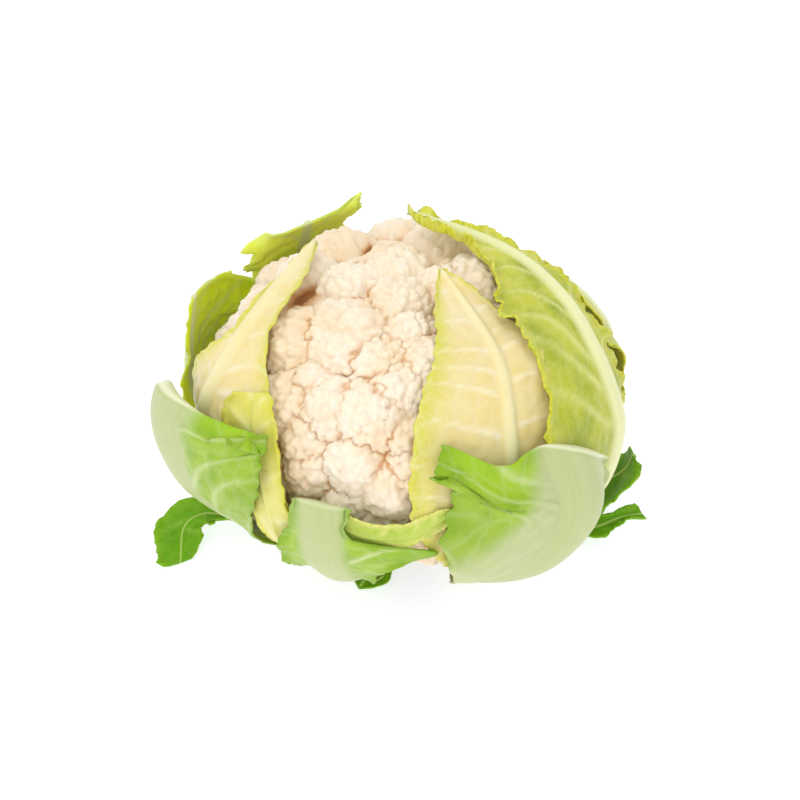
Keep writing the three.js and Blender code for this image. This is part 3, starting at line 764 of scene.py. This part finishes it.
def veins(leaf, along, across, side, share, key):
    """Side veins out of the rib, the smaller net between them, and how far each place is from that net."""
    spacing, lean, wander, cell, thick = leaf["veins"]
    reached = np.minimum(across / 15, 1)
    s = along + wander * ripple(along / 13, across * side / 13, key) * reached
    a = np.abs(across + wander * ripple(along / 13, across * side / 13, key + 40) * reached)
    v = (s - lean * a * (1 - 0.35 * share)) / spacing + np.where(side < 0, 0.5, 0)
    nearest = np.full(v.shape, 9.0)
    base = np.floor(v).astype(int)
    for step in (-1, 0, 1, 2):
        k = base + step
        # Each vein starts a little off its even place
        shift = np.sin(k * 127.1 + key * 3.7 + side * 9.0) * 0.28
        nearest = np.minimum(nearest, np.abs(v - k - shift))
    apart = nearest * spacing / math.hypot(1, lean)
    width = thick * spacing * (1 - 0.72 * share)
    side_vein = np.exp(-((apart / width) ** 2)) * (1 - 0.65 * share)
    # The net runs halfway between points that are scattered over the blade, one to a cell
    box_s = np.arange(s.min() - cell, s.max() + cell, cell)
    box_a = np.arange(-a.max() - cell, a.max() + cell, cell)
    random = np.random.default_rng(key)
    grid = np.stack(np.meshgrid(box_s, box_a, indexing="ij"), axis=-1).reshape(-1, 2)
    grid = grid + random.uniform(-0.42, 0.42, grid.shape) * cell
    tree = kdtree.KDTree(len(grid))
    for index, (x, y) in enumerate(grid):
        tree.insert((x, y, 0), index)
    tree.balance()
    flat = zip(s.ravel(), (a * side).ravel())
    near = np.array([[hit[2] for hit in tree.find_n((x, y, 0), 2)] for x, y in flat])
    between = (near[:, 1] - near[:, 0]).reshape(s.shape)
    small = np.exp(-((between / 1.4) ** 2)) * 0.35
    return side_vein, small, smoothstep(between, 0, 0.7 * cell)


# Size in mm of a leaf's mesh cells, and how many of them cross half a rib
LEAF_STEP = 1.25
RIB_CELLS = 6
# Half the blade's thickness in mm at the rib, and how much less it is at the margin
BLADE = 0.6
BLADE_THINS = 0.2


def leaf_sheet(n_rows, n_cols):
    """A grid and its copy, joined round the edge: each vertex's row and column, and whether it faces out."""
    bm = bmesh.new()
    bmesh.ops.create_grid(bm, x_segments=n_cols, y_segments=n_rows, size=1)
    bm.verts.index_update()
    count = len(bm.verts)
    bmesh.ops.extrude_face_region(bm, geom=bm.faces[:], use_keep_orig=True)
    bm.verts.index_update()
    flat = np.array([v.co[:] for v in bm.verts])
    row = np.rint((flat[:, 1] + 1) / 2 * n_rows).astype(int)
    column = np.rint((flat[:, 0] + 1) / 2 * n_cols).astype(int)
    return bm, row, column, np.arange(len(flat)) >= count


def half_widths(leaf, q, side, here):
    """The blade's half-width at each place, drawn in at a tip that isn't cut."""
    half = np.maximum(np.where(side < 0, here[..., 3], here[..., 4]), 1)
    if "cut" in leaf:
        return half
    rounding, least = (0.03, 0.5) if "blunt" in leaf else (0.08, 0.04)
    end = np.clip((q - 1 + rounding) / rounding, 0, 1)
    return half * np.sqrt(np.maximum(1 - end ** 2, least))


def margin_waves(leaf, along, across, side, share, grow, key):
    """How far the margin waves and curls off the blade, and how far its teeth stand out."""
    frill = leaf["frill"] * grow * share ** 3 * ripple(along / 2.6, side * 7 + across / 14, key)
    frill = frill + 0.4 * leaf["frill"] * grow * share ** 6 * ripple(along / 1.0, side * 3, key + 2)
    teeth = leaf["teeth"] * grow * share ** 8 * ripple(along / 1.6, side * 5, key + 7)
    teeth = teeth + 0.5 * leaf["teeth"] * grow * share ** 12 * ripple(along / 0.62, side * 5, key + 9)
    curl = np.where(side < 0, *leaf.get("curl", (0.8, 0.8))) * smoothstep(share, 0.75, 1.0) ** 2 * grow
    return frill + curl * (1 + 0.5 * ripple(along / 4, side * 2, key + 4)), teeth


def rib_colour(leaf, q, across, rib):
    """How much of the rib's colour each place has."""
    band = leaf.get("band", 1)
    wider = leaf.get("base_band", 0) * (1 - q)
    shown = 1 - smoothstep(across - wider, rib * 0.65 * band, (rib * 1.2 + 0.8) * band)
    if leaf["skin"] == "inner":
        shown = shown * (1 - 0.6 * smoothstep(q, 0.3, 0.8))
    return shown * 0.15 if "bare" in leaf else shown


def make_leaf(leaf, number, material):
    """A leaf: a thin blade with a thick midrib and raised side veins on its outer face."""
    rows, length, knot_at = midrib(leaf)
    n_rows = int(min(150, length / LEAF_STEP))
    left, right = (int(max(max(leaf[key]) / LEAF_STEP, 8)) + 3 for key in ("left", "right"))
    bm, row, column, outer = leaf_sheet(n_rows, left + right)

    q, col = np.meshgrid(np.arange(n_rows + 1) / n_rows, np.arange(left + right + 1), indexing="ij")
    side = np.where(col < left, -1.0, 1.0)
    cell = np.abs(col - left)
    out_cells = np.maximum(np.where(side < 0, left, right) - RIB_CELLS, 1)
    half = half_widths(leaf, q, side, smooth(rows, knot_at(q)))
    rib = np.minimum(leaf["rib"][0] + (leaf["rib"][1] - leaf["rib"][0]) * q, half - 0.6)
    beyond = rib + (half - rib) * (cell - RIB_CELLS) / out_cells
    across = np.where(cell <= RIB_CELLS, rib * cell / RIB_CELLS, beyond)
    share = across / half
    along = q * length
    key = 31 * number + 5

    start = leaf.get("frill_from", 0.12)
    grow = smoothstep(q, start, start + 0.28)
    frill, teeth = margin_waves(leaf, along, across, side, share, grow, key)
    side_vein, small, bulge = veins(leaf, along, across, side, share, key)
    off_rib = smoothstep(across - rib, 0, 6)
    blister = 0.7 * bulge * off_rib * smoothstep(half, 8, 16) * grow
    middle = blade_points(leaf, q, side, across, frill + blister, teeth)
    normal = unit(np.cross(np.gradient(middle, axis=1), np.gradient(middle, axis=0)))

    height = leaf["rib_height"][0] + (leaf["rib_height"][1] - leaf["rib_height"][0]) * q
    round_rib = np.clip(across / np.maximum(rib * 1.15, 0.1), 0, 1)
    swell = height * (1 - round_rib ** 2) ** 1.3
    if "cut" in leaf:
        swell = swell * (1 - 0.3 * smoothstep(along, length - 2.5, length) ** 2)
    blade = BLADE - BLADE_THINS * share
    relief = (0.85 * side_vein + 0.3 * small) * off_rib * smoothstep(half, 6, 12)
    top = middle + normal * (blade + swell + relief)[..., None]
    under = middle - normal * blade[..., None]
    places = np.where(outer[:, None], top[row, column], under[row, column])

    fade = np.where(side < 0, leaf.get("fade", 7), leaf.get("far_fade", leaf.get("fade", 7)))
    rib_mark = rib_colour(leaf, q, across, rib)
    marks = {
        "rib": rib_mark,
        "vein": np.clip(side_vein * 0.85 + small * 0.5, 0, 1) * smoothstep(across - rib, -1, 2) * grow,
        "edge": smoothstep(share, 0.35, 0.95) * np.clip(1 - (half - across) / fade, 0, 1) ** 1.5,
        "along": along + 200 * number,
        "across": across * side,
        "tip": leaf.get("cut", 0) * smoothstep(along, length - 0.9, length) * rib_mark,
        "rise": q,
    }
    marks = {name: values[row, column] for name, values in marks.items()}
    # inside marks the inner face, which the olive and curly skins paint lighter as painted light
    marks["inside"] = 1.0 - outer
    bmesh.ops.recalc_face_normals(bm, faces=bm.faces[:])
    return keep(bm, leaf["name"] + "_blade", material, places, marks, leaf["name"])


# The stalk, in mm
STALK_FOOT_RADIUS = 20.5
STALK_TOP_RADIUS = 25
STALK_HEIGHT = 35


def make_stalk(material):
    """The trimmed stalk: a short cone with a rounded foot and shallow grooves."""
    bm = bmesh.new()
    radii = {"radius1": STALK_FOOT_RADIUS, "radius2": STALK_TOP_RADIUS}
    bmesh.ops.create_cone(bm, cap_ends=True, segments=96, depth=STALK_HEIGHT, **radii)
    around = [e for e in bm.edges if all(v.co.z < 0 for v in e.verts)]
    bmesh.ops.bevel(bm, geom=around, offset=1.5, segments=3, profile=0.5, affect="EDGES", material=-1)
    rising = [e for e in bm.edges if abs(e.verts[0].co.z - e.verts[1].co.z) > 20]
    bmesh.ops.subdivide_edges(bm, edges=rising, cuts=12)
    bm.verts.index_update()
    places = np.array([v.co[:] for v in bm.verts]) + [0, 0, STALK_HEIGHT / 2]
    a = np.arctan2(places[:, 1], places[:, 0])
    rise = smoothstep(places[:, 2], 0.5, 6)
    out = 0.4 * rise * np.sin(9 * a + 0.15 * places[:, 2]) + 0.3 * rise * ripple(a * 9, places[:, 2] / 5, 77)
    places[:, :2] *= (1 + out / 24)[:, None]
    return keep(bm, "stalk_body", material, places, {}, "stalk")


# Colours in order: low, high, margin, rib, vein, mottle. Then net and, where not the usual, gloss and painted
# light for the inner face
SKINS = {
    "inner": ("#D8C854", "#ECDAAC", "#CCCC44", "#E8E6B8", "#F0E6C4", "#E6CE82", 0.05),
    "pale": ("#DCD8A8", "#DCD45C", "#D0CC3C", "#D8DA98", "#E6E29C", "#CCC84C", 0.06),
    "lime": ("#A8BE48", "#B4C648", "#DCD878", "#D8DA98", "#E2E088", "#98B430", 0.08),
    "outer": ("#98A612", "#CECC4C", "#D0CC30", "#E4E4AC", "#DADA88", "#8C9E10", 0.14),
    # olive and curly end with painted light: a bright colour their inner faces take in place of light through
    # the leaf
    "olive": ("#A8BC40", "#A4B830", "#B4C44C", "#D4DCA0", "#CCD68C", "#92A828", 0.1, 0.42, "#DCEC20"),
    "curly": ("#A4BE48", "#A8C440", "#BCD05C", "#D4DCA0", "#CCD890", "#90B034", 0.1, 0.42, "#E6F25A"),
    "trimmed": ("#94A44E", "#98BC1C", "#80A418", "#B8C086", "#CAD296", "#7AA018", 0.04),
    "deep": ("#6A9A04", "#66A004", "#7CAC08", "#B0C868", "#98BC48", "#4E8202", 0.16, 0.55),
}

# Stage, in metres. A lamp: name, place, size, watts, colour
TABLE_HALF = 6
ROOM_COLOUR = "#F4F7FF"
ROOM_STRENGTH = 0.95
LAMPS = [
    ("overhead", (-0.3, 0.1, 1.5), 1.1, 6.0, "#FFFDF6"),
    ("front_fill", (-0.2, -1.5, 0.8), 1.4, 6.0, "#FFFDF8"),
]
LENS = 101.25
CAMERA_SHIFT = (-0.0025, -0.00375)
CAMERA_PLACE = (0, -0.7431, 0.7391)
# Off straight down, so the camera looks 42 degrees below level
CAMERA_TILT_DEG = 48


def make_table():
    """The white table under the head, which takes the shadow."""
    bm = bmesh.new()
    bmesh.ops.create_grid(bm, x_segments=1, y_segments=1, size=TABLE_HALF)
    mesh = bpy.data.meshes.new("table")
    bm.to_mesh(mesh)
    bm.free()
    mesh.materials.append(white_surface())
    table = bpy.data.objects.new("table", mesh)
    bpy.context.scene.collection.objects.link(table)


def light_room():
    """A white room and two large soft lamps that face the head."""
    world = bpy.data.worlds.new("white_room")
    world.use_nodes = True
    background = world.node_tree.nodes["Background"]
    background.inputs["Color"].default_value = linear(ROOM_COLOUR)
    background.inputs["Strength"].default_value = ROOM_STRENGTH
    bpy.context.scene.world = world
    for name, place, size, power, colour in LAMPS:
        lamp = bpy.data.lights.new(name, "AREA")
        lamp.size = size
        lamp.energy = power
        lamp.color = linear(colour)[:3]
        holder = bpy.data.objects.new(name, lamp)
        holder.location = place
        aim = Vector(CENTRE * MM) - Vector(place)
        holder.rotation_euler = aim.to_track_quat("-Z", "Y").to_euler()
        bpy.context.scene.collection.objects.link(holder)


def place_camera():
    """The photo's view: 1 m from the head's centre, looking down."""
    camera = bpy.data.cameras.new("camera")
    camera.lens = LENS
    camera.sensor_width = 36
    camera.shift_x, camera.shift_y = CAMERA_SHIFT
    holder = bpy.data.objects.new("camera", camera)
    holder.location = CAMERA_PLACE
    holder.rotation_euler = (math.radians(CAMERA_TILT_DEG), 0, 0)
    bpy.context.scene.collection.objects.link(holder)
    bpy.context.scene.camera = holder


make_curd(curd_flesh())
make_stalk(stalk_flesh())
skins = {name: leaf_flesh(name + "_leaf", *look) for name, look in SKINS.items()}
for number, leaf in enumerate(LEAVES):
    make_leaf(leaf, number, skins[leaf["skin"]])
make_table()
light_room()
place_camera()
bpy.context.scene.view_settings.view_transform = "Standard"
